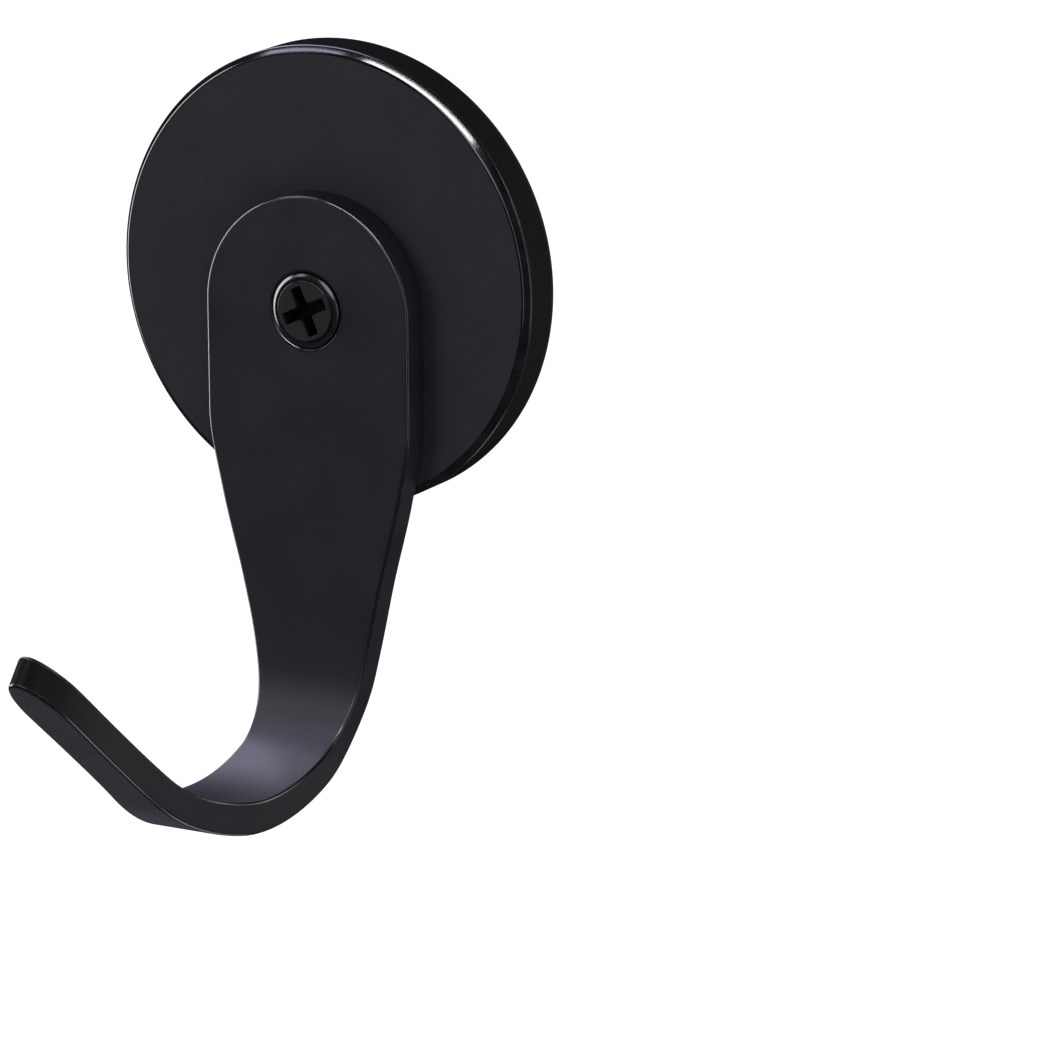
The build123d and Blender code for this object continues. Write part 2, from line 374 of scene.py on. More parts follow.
def outline(inset, deep):
    """(x, along) of the closed outline at one depth, moved inwards by inset, square to itself."""
    x = np.where(right_on_side, half_width(*strap_place(right_along, deep)), right_round)
    x = np.concatenate([x, -x[-2:0:-1]])
    along = np.concatenate([right_along, right_along[-2:0:-1]])
    step_x = np.roll(x, -1) - np.roll(x, 1)
    step_along = np.roll(along, -1) - np.roll(along, 1)
    length = np.hypot(step_x, step_along)
    return x - inset * step_along / length, along + inset * step_x / length


print("outline of", LOOP_COUNT, "points, widest", round(outline(0.0, 0.0)[0].max() * 2, 2), "mm")

# %% [markdown]
# ## The flat faces of the strap
# The strap was stamped from flat bar, with a hole for the screw near its round top. A boolean cut would leave long thin
# triangles round that hole, and they shade badly. So each face is filled in two ways: below the screw with straight
# rows from side to side, and round the screw with a fan of rings between the hole and the outline. This helper makes
# the rows, and hands back the loop of points that the fan starts from.

# %% Filling a face
SCREW_ALONG, EDGE_HOLD = STRAP_HALF, 0.06


def fill_face(skin, ring, deep, columns=16, below_screw=9.0):
    """Rows from the right side to the left below the screw. Returns the rows and the loop round the part with
    the hole: up the right side, over the top, down the left side and back along the first row."""
    x, along = outline(EDGE_ROUND + EDGE_HOLD, deep)
    first = int(np.searchsorted(along[:HALF_COUNT], SCREW_ALONG + below_screw))
    rows = []
    for i in range(first, HALF_COUNT):
        across = np.linspace(x[i], -x[i], columns + 1)[1:-1]
        y, z = strap_place(np.full(len(across), along[i]), deep)
        rows.append(np.concatenate([[ring[i]], skin.ring(across, y, z), [ring[LOOP_COUNT - i]]]))
    up, down = slice(first, None, -1), slice(None, LOOP_COUNT - first - 1, -1)
    first_row_x = np.linspace(x[first], -x[first], columns + 1)[-2:0:-1]
    loop = np.concatenate([ring[up], ring[down], rows[0][-2:0:-1]])
    loop_x = np.concatenate([x[up], x[down], first_row_x])
    loop_along = np.concatenate([along[up], along[down], np.full(columns - 1, along[first])])
    return rows, loop, loop_x, loop_along


print("screw centre", SCREW_ALONG, "mm down the strap's line")

# %% [markdown]
# ## The rounded edge of the strap
# Stamping and powder coat leave no sharp edge: a round of a few tenths of a millimetre runs all round both faces, and
# it catches the light as a fine line. The rings follow the outline from the front face over the rounded edge, down the
# side and over the back edge. A holding ring stands on each face close to the edge, so that the smooth shading stays
# flat beside it. Over the last stretch to the tip the side gets painted shade: its colour goes towards near black and
# its gloss fades.

# %% The edge's rings
# Painted shade on the strap's side: how deep it gets at the tip, and over what length it grows.
TIP_PAINTED_SHADE, TIP_SHADE_LENGTH = 0.9, 14.0


def edge_rings(skin):
    """Front to back: a holding ring, a quarter round, the side, a quarter round and a holding ring."""
    turn = np.linspace(0, np.pi / 2, 7)
    insets, depths = EDGE_ROUND * (1 - np.sin(turn)), EDGE_ROUND * (1 - np.cos(turn))
    hold = EDGE_ROUND + EDGE_HOLD
    side = np.linspace(hold, STRAP_THICKNESS - hold, 5)
    inset = np.concatenate([[hold], insets, np.zeros(5), insets[::-1], [hold]])
    deep = np.concatenate([[0], depths, side, STRAP_THICKNESS - depths[::-1], [STRAP_THICKNESS]])
    wear = np.concatenate([[0], np.sin(2 * turn), np.zeros(5), np.sin(2 * turn), [0]])
    rings = []
    for a, d, w in zip(inset, deep, wear):
        x, along = outline(a, d)
        # The side rows get painted shade that grows over the last stretch to the tip.
        tip_shade_share = np.clip((along - STRAP_LENGTH + TIP_SHADE_LENGTH) / TIP_SHADE_LENGTH, 0, 1)
        on_side = w == 0 and a == 0
        rings.append(skin.ring(x, *strap_place(along, d), w - TIP_PAINTED_SHADE * tip_shade_share * on_side))
    return rings


print("edge rounded by", EDGE_ROUND, "mm, dull over the last", TIP_SHADE_LENGTH, "mm")

# %% [markdown]
# ## The screw hole and the whole strap
# The hole is countersunk at 90 degrees, so that the screw's head sinks into the strap. Its skin is a turned profile
# with softened lips. It joins the fan of rings on the front face to the one on the back, and the strap is closed.

# %% The strap's skin
HOLE_RADIUS, SINK_RADIUS, LIP_ROUND, BACK_LIP_ROUND = 2.25, 3.7, 0.08, 0.1


def hole_line():
    """(radius, depth) down the countersunk hole: a softened lip, a cone of 45 degrees and a straight bore."""
    cone_end = SINK_RADIUS - HOLE_RADIUS
    line = [(SINK_RADIUS + 0.2, 0), (SINK_RADIUS, 0), (HOLE_RADIUS, cone_end), (HOLE_RADIUS, STRAP_THICKNESS)]
    line.append((HOLE_RADIUS + 0.4, STRAP_THICKNESS))
    return rounded_profile(line, [LIP_ROUND, LIP_ROUND, BACK_LIP_ROUND])


def strap_skin():
    """The rounded edge, the filled front and back faces and the hole that joins them, as one closed skin."""
    skin = Skin()
    edges = edge_rings(skin)
    front_rows, front_loop, loop_x, loop_along = fill_face(skin, edges[0], 0.0)
    back_rows, back_loop, _, _ = fill_face(skin, edges[-1], STRAP_THICKNESS)
    skin.sew_all(edges[::-1])
    angle = np.arctan2(SCREW_ALONG - loop_along, loop_x)
    reach = np.hypot(loop_x, SCREW_ALONG - loop_along)
    hole, on_lip = hole_line()
    front_lip, back_lip = hole[0][0], hole[-1][0]
    rings = [front_loop]
    spans = [(front_lip + s * (reach - front_lip), 0.0, 0.0) for s in (0.55, 0.2)]
    spans += [(r, d, w) for (r, d), w in zip(hole, on_lip)]
    spans += [(back_lip + s * (reach - back_lip), STRAP_THICKNESS, 0.0) for s in (0.2, 0.55)]
    for radius, deep, wear in spans:
        y, z = strap_place(SCREW_ALONG - radius * np.sin(angle), deep)
        rings.append(skin.ring(radius * np.cos(angle), y, z, wear))
    skin.sew_all(rings + [back_loop])
    for rows, edge, front in ((front_rows, edges[0], True), (back_rows, edges[-1], False)):
        for upper, lower in zip(rows[:-1], rows[1:]):
            skin.sew(*((lower, upper) if front else (upper, lower)), closed=False)
        skin.fan(rows[-1], edge[HALF_COUNT], flip=front, closed=False)
    return skin


strap = strap_skin().piece("strap_skin")

# %% [markdown]
# ## The screw's cross recess
# A countersunk machine screw holds the strap. The cross recess in its head was pressed in with a tapered punch, so its
# walls lean and its inner corners are soft, and the screw came to rest with the cross turned by 24 degrees. The cross
# is drawn as rings too. Every later ring of the screw has as many points as the cross outline, so round rings and
# cross rings sew together without a boolean cut.

# %% The cross recess
HEAD_PROUD = 0.3
SCREW_TOP = STRAP_FRONT + HEAD_PROUD
CROSS_SPAN, CROSS_ARM, CROSS_DEPTH, CROSS_CORNER = 2.35, 0.575, 1.5, 0.3
CROSS_TURN, CROSS_DRAFT = np.radians(24.0), np.radians(7.0)
CONE_DEPTH, CONE_POINT = 0.25, 0.3


def cross_outline(span, arm, corner):
    """One quarter runs along half an arm's end, its side, a rounded inner corner, the next arm's side and half
    its end. The quarter is turned three times by 90 degrees."""
    end, side, bend = np.linspace(0, 1, 6)[:-1], np.linspace(0, 1, 9)[:-1], np.linspace(0, 1, 9)[:-1]
    turn = np.pi * (1.5 - 0.5 * bend)
    quarter_x = [np.full(5, span), span + side * (arm + corner - span), arm + corner + corner * np.cos(turn)]
    quarter_z = [arm * end, np.full(8, arm), arm + corner + corner * np.sin(turn)]
    quarter_x += [np.full(8, arm), arm * (1 - end)]
    quarter_z += [arm + corner + side * (span - arm - corner), np.full(5, span)]
    quarter = np.concatenate(quarter_x) + 1j * np.concatenate(quarter_z)
    whole = np.concatenate([quarter * 1j**n for n in range(4)]) * np.exp(1j * CROSS_TURN)
    return whole.real, whole.imag


def cross_rings(skin, x, z, floor):
    """From the bottom's shallow cone, up the leaning walls, to the outline (x, z) on the head's top."""
    draft = CROSS_DEPTH * np.tan(CROSS_DRAFT)
    low_x, low_z = cross_outline(CROSS_SPAN - draft, CROSS_ARM - draft, CROSS_CORNER + draft)
    rings = []
    # Painted shade in the recess: the floor and most of the walls carry -1, rising to 0 only near the top, so the
    # recess is painted near black without gloss.
    for share in (0.35, 0.7):
        cone = floor + (1 - share) * CONE_DEPTH
        rings.append(skin.ring(share * low_x, cone, SCREW_Z + share * low_z, -1.0))
    for share in (0.0, 0.08, 0.4, 0.75, 0.92, 1.0):
        wall_x, wall_z = low_x + share * (x - low_x), low_z + share * (z - low_z)
        dark = -min(1.0, 4 * (1 - share))
        rings.append(skin.ring(wall_x, floor - share * CROSS_DEPTH, SCREW_Z + wall_z, dark))
    return rings


cross_x, cross_z = cross_outline(CROSS_SPAN, CROSS_ARM, CROSS_CORNER)
print("cross of", len(cross_x), "points,", 2 * CROSS_SPAN, "mm across")

# %% [markdown]
# ## The screw's head
# The head has a flat top that stands a little proud of the strap, then a fine groove and a rounded bead round it. The
# top is filled with rings that blend from the cross to a circle. The edge, the groove and the bead are turned profiles.

# %% The head's rings
HEAD_RADIUS, HEAD_TOP_RADIUS, HEAD_EDGE = 3.45, 2.83, 0.06
GROOVE_WIDTH, GROOVE_DEPTH, GROOVE_ROUND, BEAD_DROP = 0.2, 0.32, 0.02, 0.12


def head_rings(skin, x, z, angles):
    """The flat top, its edge, the groove, and the bead: its height drops with the power 1.6 of the way out."""
    rings = []
    rim_x, rim_z = HEAD_TOP_RADIUS * np.cos(angles), HEAD_TOP_RADIUS * np.sin(angles)
    for share, wear in ((0.03, 0.6), (0.08, 0), (0.5, 0), (0.9, 0)):
        flat_x, flat_z = x + share * (rim_x - x), z + share * (rim_z - z)
        rings.append(skin.ring(flat_x, -SCREW_TOP, SCREW_Z + flat_z, wear))
    bead_in, bead_top, groove = HEAD_TOP_RADIUS + GROOVE_WIDTH, SCREW_TOP - BEAD_DROP, SCREW_TOP - GROOVE_DEPTH
    line = [(HEAD_TOP_RADIUS - 2 * HEAD_EDGE, SCREW_TOP), (HEAD_TOP_RADIUS, SCREW_TOP)]
    line += [(HEAD_TOP_RADIUS, groove), (bead_in, groove), (bead_in, bead_top)]
    head, on_edge = rounded_profile(line, [HEAD_EDGE, GROOVE_ROUND, GROOVE_ROUND])
    way_out = np.linspace(0, 1, 9)
    bead_heights = STRAP_FRONT + (bead_top - STRAP_FRONT) * (1 - way_out**1.6)
    bead = np.stack([bead_in + (HEAD_RADIUS - bead_in) * way_out, bead_heights], axis=-1)
    rings += turned_rings(skin, head, 0.7 * on_edge, angles, SCREW_Z)
    return rings + turned_rings(skin, bead, np.ones(len(bead)), angles, SCREW_Z)


print("head", 2 * HEAD_RADIUS, "mm wide, flat top", 2 * HEAD_TOP_RADIUS, "mm")

# %% [markdown]
# ## The screw's thread and the whole screw
# Below the head come a cone and a shank with a real thread. A thread could be made with a screw modifier, but here the
# rings only need another radius at each angle. The radius rises and falls with the height minus the share of a turn,
# so the crest winds down like a stair.

# %% The screw's skin
SHANK_RADIUS, SCREW_LENGTH = 1.95, 6.0
THREAD_PITCH, THREAD_DEPTH, THREAD_START, THREAD_STOP = 0.7, 0.38, 0.2, 0.4


def shank_rings(skin, angles, end):
    """The cone, then the thread: the cut grows to its full depth over the first turn. Last, a blunt tip."""
    cone_top = STRAP_FRONT - HEAD_EDGE
    neck = cone_top - (HEAD_RADIUS - SHANK_RADIUS)
    cone = [(HEAD_RADIUS, cone_top), (SHANK_RADIUS + 0.05, neck + 0.05), (SHANK_RADIUS, neck - 0.1)]
    rings = turned_rings(skin, cone, np.zeros(3), angles, SCREW_Z)
    around = angles / (2 * np.pi)
    for h in np.linspace(neck - THREAD_START, end + THREAD_STOP, 96):
        phase = (h / THREAD_PITCH - around) % 1.0
        run_in = np.minimum(1, (neck - THREAD_START - h) / THREAD_PITCH)
        radius = SHANK_RADIUS - run_in * THREAD_DEPTH * (1 - np.abs(2 * phase - 1))
        rings.append(skin.ring(radius * np.cos(angles), -h, SCREW_Z + radius * np.sin(angles)))
    blunt_tip = [(SHANK_RADIUS - 0.42, end + 0.02), (SHANK_RADIUS - 0.55, end)]
    return rings + turned_rings(skin, blunt_tip, np.zeros(2), angles, SCREW_Z)


def screw_skin():
    """From the bottom of the recess, up its walls, over the head, down the cone and the thread to the tip."""
    skin = Skin()
    floor, end = CROSS_DEPTH - SCREW_TOP, STRAP_FRONT - SCREW_LENGTH
    angles = np.arctan2(cross_z, cross_x)
    rings = cross_rings(skin, cross_x, cross_z, floor)
    rings += head_rings(skin, cross_x, cross_z, angles)
    rings += shank_rings(skin, angles, end)
    skin.sew_all(rings)
    # The point of the floor's cone carries the same painted shade.
    skin.fan(rings[0], skin.ring(0, floor + CONE_POINT, SCREW_Z, -1.0)[0])
    skin.fan(rings[-1], skin.ring(0, -end, SCREW_Z)[0], flip=True)
    return skin


screw = screw_skin().piece("screw_skin", sharp_angle=30.0)

# %% [markdown]
# ## Riding on the CAD bodies
# On the real hook the strap and the screw turn, and the rest stays on the door. The CAD bodies already carry those
# joints. So nothing is moved here: each skin rides on the body of one CAD piece and takes its place in the picture,
# while the CAD piece is hidden and stays for the physics. The slot names tell which material goes where.

# %% Ride and replace
for skin_object, body, node, slot in (
    (cover, "base", "rubber_cover", "cover_rubber"),
    (pad, "base", "grip_pad", "pad_rubber"),
    (strap, "hook", "hook_strap", "strap_black"),
    (screw, "screw", "clamp_screw", "screw_black"),
):
    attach(skin_object, body)
    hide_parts(node)
    print(skin_object.name, "rides on", body)

# %% [markdown]
# ## Helpers for shader nodes
# A material is a small graph of nodes. These helpers add one node, give plain values to its sockets and link those
# sockets that are given as other nodes' outputs, so each material below reads like a recipe.

# %% Adding nodes
def plug(tree, socket, value):
    """Links a socket to another node's output, or gives it a plain value."""
    if isinstance(value, bpy.types.NodeSocket):
        tree.links.new(value, socket)
    else:
        socket.default_value = value


def add_node(tree, kind, settings=None, **sockets):
    """One node. An underscore in a socket's name stands for a space."""
    made = tree.nodes.new(kind)
    for key, value in (settings or {}).items():
        setattr(made, key, value)
    for key, value in sockets.items():
        plug(tree, made.inputs[key.replace("_", " ")], value)
    return made


def start_material(name):
    """An empty material with its shader, its output and the object's own coordinates."""
    material = bpy.data.materials.new(name)
    material.use_nodes = True
    tree = material.node_tree
    tree.nodes.clear()
    shader = add_node(tree, "ShaderNodeBsdfPrincipled")
    add_node(tree, "ShaderNodeOutputMaterial", Surface=shader.outputs["BSDF"])
    place = add_node(tree, "ShaderNodeTexCoord").outputs["Object"]
    print("material", name)
    return material, tree, shader, place


# %% [markdown]
# ## Helpers for values and colours
# Real surfaces are never one even colour. Each finish below starts from noise at the object's own coordinates, so the
# pattern sticks to the piece when it turns, and then stretches, multiplies and mixes it. One helper reads the edge
# value that the skins carry.

# %% Values and colours
def edge_wear_and_shade(tree):
    """The value each skin carries: 1 on an edge's round, 0 on flat faces, painted shade below 0, -1 deep in a recess.
    """
    return add_node(tree, "ShaderNodeAttribute", {"attribute_name": "edge_wear_and_shade"}).outputs["Fac"]


def noise(tree, place, scale, detail=2.0, roughness=0.5):
    """Cloudy noise with features about one part in scale of a metre wide."""
    made = add_node(tree, "ShaderNodeTexNoise", Vector=place, Scale=scale, Detail=detail, Roughness=roughness)
    return made.outputs["Fac"]


def calculate(tree, operation, first, second=0.0):
    """One sum, product or similar of two values."""
    made = add_node(tree, "ShaderNodeMath", {"operation": operation})
    for socket, value in zip(made.inputs, (first, second)):
        plug(tree, socket, value)
    return made.outputs["Value"]


def product(tree, first, second):
    """Two values multiplied."""
    return calculate(tree, "MULTIPLY", first, second)


def map_range(tree, value, low, high, to_low, to_high):
    """Stretches a value from one range to another."""
    limits = {"From_Min": low, "From_Max": high, "To_Min": to_low, "To_Max": to_high}
    return add_node(tree, "ShaderNodeMapRange", Value=value, **limits).outputs["Result"]


def colour_ramp(tree, factor, stops):
    """Colours by position from 0 to 1."""
    made = add_node(tree, "ShaderNodeValToRGB", Fac=factor)
    ramp = made.color_ramp
    while len(ramp.elements) < len(stops):
        ramp.elements.new(0.5)
    for element, (position, colour) in zip(ramp.elements, stops):
        element.position, element.color = position, (*colour, 1.0)
    return made.outputs["Color"]


def mix_colour(tree, factor, first, second):
    """The first colour where the factor is 0, the second where it is 1."""
    made = add_node(tree, "ShaderNodeMix", {"data_type": "RGBA"})
    tree.links.new(factor, made.inputs[0])
    for socket, value in ((made.inputs[6], first), (made.inputs[7], second)):
        plug(tree, socket, (*value, 1.0) if isinstance(value, tuple) else value)
    return made.outputs[2]


# %% [markdown]
# ## Black finishes
# Four black finishes lie side by side on the real hook, and they differ mainly in grain and gloss. Moulded rubber is
# dull with a fine speckle and turns shiny where the mould was polished. Powder coat has a soft orange peel. The screw
# is smoother and a little shinier. So one recipe makes them all: clouds and a fine speckle vary the colour and the
# roughness, and two sizes of bump give the grain. Where the edge value rises above 0, the black turns deeper, smoother
# and glossier, as on a polished edge. Where it falls below 0, shade is painted: the gloss fades and the colour goes to
# near black.

# %% The black recipe
MICRON = 0.000001
# The colour that painted shade goes to.
PAINTED_SHADE_BLACK = (0.003, 0.003, 0.003)


def add_bump(tree, height, depth, below=None):
    """Bumps of a height from 0 to 1, as deep as depth in metres, on top of the bumps below."""
    bump = add_node(tree, "ShaderNodeBump", Height=height, Distance=depth, Strength=1.0)
    if below:
        tree.links.new(below, bump.inputs["Normal"])
    return bump.outputs["Normal"]


def black_finish(name, dark, light, edge, rough, edge_rough, shine, edge_shine, grain, peel):
    """dark, light and edge are colours, rough is a pair, grain and peel are pairs of noise scale and depth."""
    material, tree, shader, place = start_material(name)
    # The edge value: polish above 0, painted shade below 0, full painted shade at -1.
    wear_and_shade = edge_wear_and_shade(tree)
    wear = calculate(tree, "MAXIMUM", wear_and_shade, 0.0)
    outside_painted_shade = map_range(tree, wear_and_shade, -1.0, 0.0, 0.0, 1.0)
    clouds = noise(tree, place, 170.0, 4.0)
    speck = noise(tree, place, grain[0], 2.0, 0.6)
    blend = calculate(tree, "ADD", product(tree, clouds, 0.45), product(tree, speck, 0.25))
    rubbed = product(tree, wear, map_range(tree, noise(tree, place, 420.0, 3.0), 0.35, 0.65, 0.8, 1.0))
    face_colour = colour_ramp(tree, blend, [(0.15, dark), (0.62, light)])
    coat = mix_colour(tree, rubbed, face_colour, edge)
    # Painted shade: below an edge value of 0 the colour is mixed towards near black and the gloss fades.
    plug(tree, shader.inputs["Base Color"], mix_colour(tree, outside_painted_shade, PAINTED_SHADE_BLACK, coat))
    mottled = calculate(tree, "ADD", clouds, product(tree, speck, 0.4))
    face_rough = map_range(tree, mottled, 0.4, 1.0, *rough)
    gap = calculate(tree, "SUBTRACT", face_rough, edge_rough)
    plug(tree, shader.inputs["Roughness"], calculate(tree, "SUBTRACT", face_rough, product(tree, gap, wear)))
    gloss = product(tree, map_range(tree, wear, 0.0, 1.0, shine, edge_shine), outside_painted_shade)
    plug(tree, shader.inputs["Specular IOR Level"], gloss)
    flat = calculate(tree, "SUBTRACT", 1.0, product(tree, wear, 0.85))
    fine = add_bump(tree, product(tree, speck, flat), grain[1])
    coarse = add_bump(tree, product(tree, noise(tree, place, peel[0], 1.0), flat), peel[1], fine)
    plug(tree, shader.inputs["Normal"], coarse)
    return material


# %% [markdown]
# ## The four blacks
# A black thing still gives back about one part in a hundred of the light, so these colours are small numbers. Each has
# a little more blue than green, for the cool tint that black paint and rubber have. The roughness sets how blurred a
# reflection is, the shine how strong it is: the rubber's faces hardly shine, and its polished edges do.

# %% Black materials
rubber_black = black_finish(
    "moulded_rubber",
    dark=(0.0115, 0.0112, 0.0134), light=(0.0172, 0.0168, 0.02), edge=(0.0025, 0.0025, 0.003),
    rough=(0.5, 0.6), edge_rough=0.12, shine=0.01, edge_shine=0.8,
    grain=(5200.0, 16 * MICRON), peel=(1500.0, 10 * MICRON),
)
powder_black = black_finish(
    "powder_coat",
    dark=(0.0044, 0.0039, 0.0067), light=(0.0065, 0.0058, 0.0101), edge=(0.004, 0.004, 0.0045),
    rough=(0.4, 0.48), edge_rough=0.16, shine=0.42, edge_shine=0.8,
    grain=(4200.0, 5 * MICRON), peel=(1300.0, 6 * MICRON),
)
screw_finish = black_finish(
    "blackened_screw",
    dark=(0.006, 0.006, 0.0068), light=(0.009, 0.009, 0.0102), edge=(0.005, 0.005, 0.006),
    rough=(0.36, 0.44), edge_rough=0.18, shine=0.4, edge_shine=0.8,
    grain=(3600.0, 6 * MICRON), peel=(1200.0, 6 * MICRON),
)
pad_finish = black_finish(
    "grip_rubber",
    dark=(0.010, 0.010, 0.011), light=(0.016, 0.016, 0.0175), edge=(0.014, 0.014, 0.015),
    rough=(0.62, 0.74), edge_rough=0.45, shine=0.3, edge_shine=0.4,
    grain=(3000.0, 40 * MICRON), peel=(900.0, 30 * MICRON),
)

# %% [markdown]
# ## Plated metals inside
# The plate, the bush and the magnets are closed in by rubber. They still get their plating, so that the part is right
# when it is taken apart: zinc has a cool bloom of crystals, nickel is warmer and smoother.

# %% The plating recipe
def plated_finish(name, dark, light, rough, bloom, scratch_depth):
    """A cell pattern for the plating's bloom, and stretched noise for the fine marks of handling."""
    material, tree, shader, place = start_material(name)
    cells = add_node(tree, "ShaderNodeTexVoronoi", Vector=place, Scale=bloom).outputs["Distance"]
    clouds = noise(tree, place, 260.0, 4.0)
    shade = calculate(tree, "ADD", product(tree, cells, 0.4), product(tree, clouds, 0.6))
    plug(tree, shader.inputs["Base Color"], colour_ramp(tree, shade, [(0.2, dark), (0.75, light)]))
    plug(tree, shader.inputs["Roughness"], map_range(tree, clouds, 0.3, 0.7, *rough))
    shader.inputs["Metallic"].default_value = 1.0
    stretched = add_node(tree, "ShaderNodeMapping", Vector=place)
    stretched.inputs["Scale"].default_value = (6.0, 1.0, 0.4)
    marks = noise(tree, stretched.outputs["Vector"], 900.0, 3.0)
    plug(tree, shader.inputs["Normal"], add_bump(tree, marks, scratch_depth))
    return material


zinc = plated_finish(
    "zinc_plating", dark=(0.42, 0.43, 0.45), light=(0.62, 0.63, 0.65),
    rough=(0.3, 0.42), bloom=700.0, scratch_depth=10 * MICRON,
)
bush_zinc = plated_finish(
    "bush_plating", dark=(0.4, 0.4, 0.42), light=(0.58, 0.58, 0.6),
    rough=(0.26, 0.4), bloom=1100.0, scratch_depth=8 * MICRON,
)
nickel = plated_finish(
    "nickel_plating", dark=(0.52, 0.5, 0.46), light=(0.68, 0.66, 0.62),
    rough=(0.16, 0.28), bloom=1400.0, scratch_depth=4 * MICRON,
)

# %% [markdown]
# ## Dressing every piece
# Every real piece has one finish all over. A new skin takes its material in its mesh. A CAD piece that stays keeps its
# mesh, and only its slot is filled, because the frame must not change.

# %% Give out the materials
dressed = [(cover, rubber_black), (pad, pad_finish), (strap, powder_black), (screw, screw_finish)]
for skin_object, finish in dressed:
    skin_object.data.materials.append(finish)
kept_pieces = {"backing_plate": zinc, "threaded_bush": bush_zinc}
kept_pieces.update({f"magnet_{number}": nickel for number in range(1, 9)})
for node, finish in kept_pieces.items():
    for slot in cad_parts[node].material_slots:
        slot.material = finish
print("dressed", len(dressed) + len(kept_pieces), "pieces")

# %% [markdown]
# ## The floor
# The picture is a plain studio shot on white. One wide, pale, matt sheet is enough: it lies far below the hook and
# fills the background, so that no horizon shows. Reflections don't see it, or it would turn the black undersides grey.

# %% Floor
FLOOR_Z, FLOOR_HALF = -0.42, 7.0
floor_mesh = bpy.data.meshes.new("studio_floor")
floor_signs = [(-1, -1), (1, -1), (1, 1), (-1, 1)]
floor_corners = [(FLOOR_HALF * a, FLOOR_HALF * b, FLOOR_Z) for a, b in floor_signs]
floor_mesh.from_pydata(floor_corners, [], [(0, 1, 2, 3)])
floor = bpy.data.objects.new("studio_floor", floor_mesh)
bpy.context.scene.collection.objects.link(floor)
floor_material, floor_tree, floor_shader, floor_place = start_material("studio_white")
floor_shade = noise(floor_tree, floor_place, 3.0, 2.0)
floor_stops = [(0.3, (0.9, 0.9, 0.9)), (0.7, (0.92, 0.92, 0.92))]
plug(floor_tree, floor_shader.inputs["Base Color"], colour_ramp(floor_tree, floor_shade, floor_stops))
floor_shader.inputs["Roughness"].default_value = 0.9
floor_shader.inputs["Specular IOR Level"].default_value = 0.1
floor_mesh.materials.append(floor_material)
floor.visible_glossy = False
print("floor", 2 * FLOOR_HALF, "m wide, at z", FLOOR_Z)

# %% [markdown]
# ## The sky
# An even white sky fills the shadows. A black thing would mirror it and turn grey, so the Light Path node tells the
# rays apart: matt surfaces get the fill, reflections get next to nothing, and the camera sees plain white.

# %% The sky
SKY_LIGHT, SKY_SEEN, SKY_IN_GLOSS = 0.5, 1.05, 0.01
world = bpy.data.worlds.new("studio_sky")
bpy.context.scene.world = world
world.use_nodes = True
sky_tree = world.node_tree
sky = sky_tree.nodes["Background"]
sky.inputs["Color"].default_value = (1.0, 1.0, 1.0, 1.0)
ray = add_node(sky_tree, "ShaderNodeLightPath").outputs
lit = map_range(sky_tree, ray["Is Camera Ray"], 0.0, 1.0, SKY_LIGHT, SKY_SEEN)
strength = map_range(sky_tree, ray["Is Glossy Ray"], 0.0, 1.0, lit, SKY_IN_GLOSS)
sky_tree.links.new(strength, sky.inputs["Strength"])
print("the sky gives", SKY_LIGHT, "and is seen as", SKY_SEEN)

# %% [markdown]
# ## Soft lamps
# A black object is drawn by what it mirrors. So each lamp was placed by reflection: the direction in which an edge
# mirrors the camera is where its lamp has to stand. A rectangular area lamp is a studio softbox, and its shape is the
# shape of the highlight: a long strip draws a thin line, a panel draws a broad sheen.

# %% A soft lamp
HOOK = Vector((0.0, -0.02, 0.0))
VIOLET, PALE_VIOLET, DEEP_VIOLET = (0.8, 0.75, 1.0), (0.82, 0.78, 1.0), (0.78, 0.73, 1.0)
FAINT_VIOLET, WARM, WHITE = (0.86, 0.83, 1.0), (1.0, 0.97, 0.84), (1.0, 1.0, 1.0)


def soft_light(name, place, along, size, radiance, colour=WHITE, matt=True, gloss=True):
    """A rectangular lamp at place that faces the hook, with its width along the given direction. To look as
    bright as radiance from everywhere, it needs pi times its area times radiance in watts. matt and gloss tell
    whether matt surfaces and reflections get its light."""
    facing = (Vector(place) - HOOK).normalized()
    across = (Vector(along) - facing * facing.dot(Vector(along))).normalized()
    lamp = bpy.data.lights.new(name, "AREA")
    lamp.shape = "RECTANGLE"
    lamp.size, lamp.size_y = size
    lamp.energy, lamp.color = np.pi * size[0] * size[1] * radiance, colour
    made = bpy.data.objects.new(name, lamp)
    bpy.context.scene.collection.objects.link(made)
    turn = Matrix((across, facing.cross(across), facing)).transposed().to_4x4()
    made.matrix_world = Matrix.Translation(place) @ turn
    made.visible_camera, made.visible_diffuse, made.visible_glossy = False, matt, gloss
    print(name, round(lamp.energy, 1), "W,", size[0], "by", size[1], "m")
    return made


# %% [markdown]
# ## Lamps above, in front and on the left
# The strip above draws the white line on the chamfer's upper right, and the violet strip carries it over the top. The
# softbox in front and the tall panel on the left tint the strap's face and draw its right and left edges. The key light
# is never mirrored: it lights the matt faces and casts the strap's shadow on the disc. The strip above and the softbox
# in front are the opposite, and only show in reflections.

# %% Front and left lamps
soft_light("top_strip", (0.14, -0.425, 0.8), (1.0, -0.34, 0.0), (0.8, 0.12), 18.0, matt=False)
soft_light("key_light", (-0.38, -0.78, 0.24), (1.0, -1.0, 0.0), (0.3, 0.3), 17.0, gloss=False)
soft_light("top_left_strip", (-0.53, -0.19, 0.72), (0.75, -0.4, 0.42), (0.46, 0.12), 5.0, VIOLET)
soft_light("front_softbox", (0.17, -0.74, 0.37), (1.0, 0.2, 0.0), (0.42, 0.42), 3.6, PALE_VIOLET, matt=False)
soft_light("front_left_softbox", (-0.54, -0.53, 0.48), (1.0, -1.0, 0.0), (0.24, 0.24), 4.0, PALE_VIOLET)
soft_light("left_panel", (-0.8, -0.16, 0.03), (0.0, 0.87, 0.49), (0.36, 0.84), 7.0)

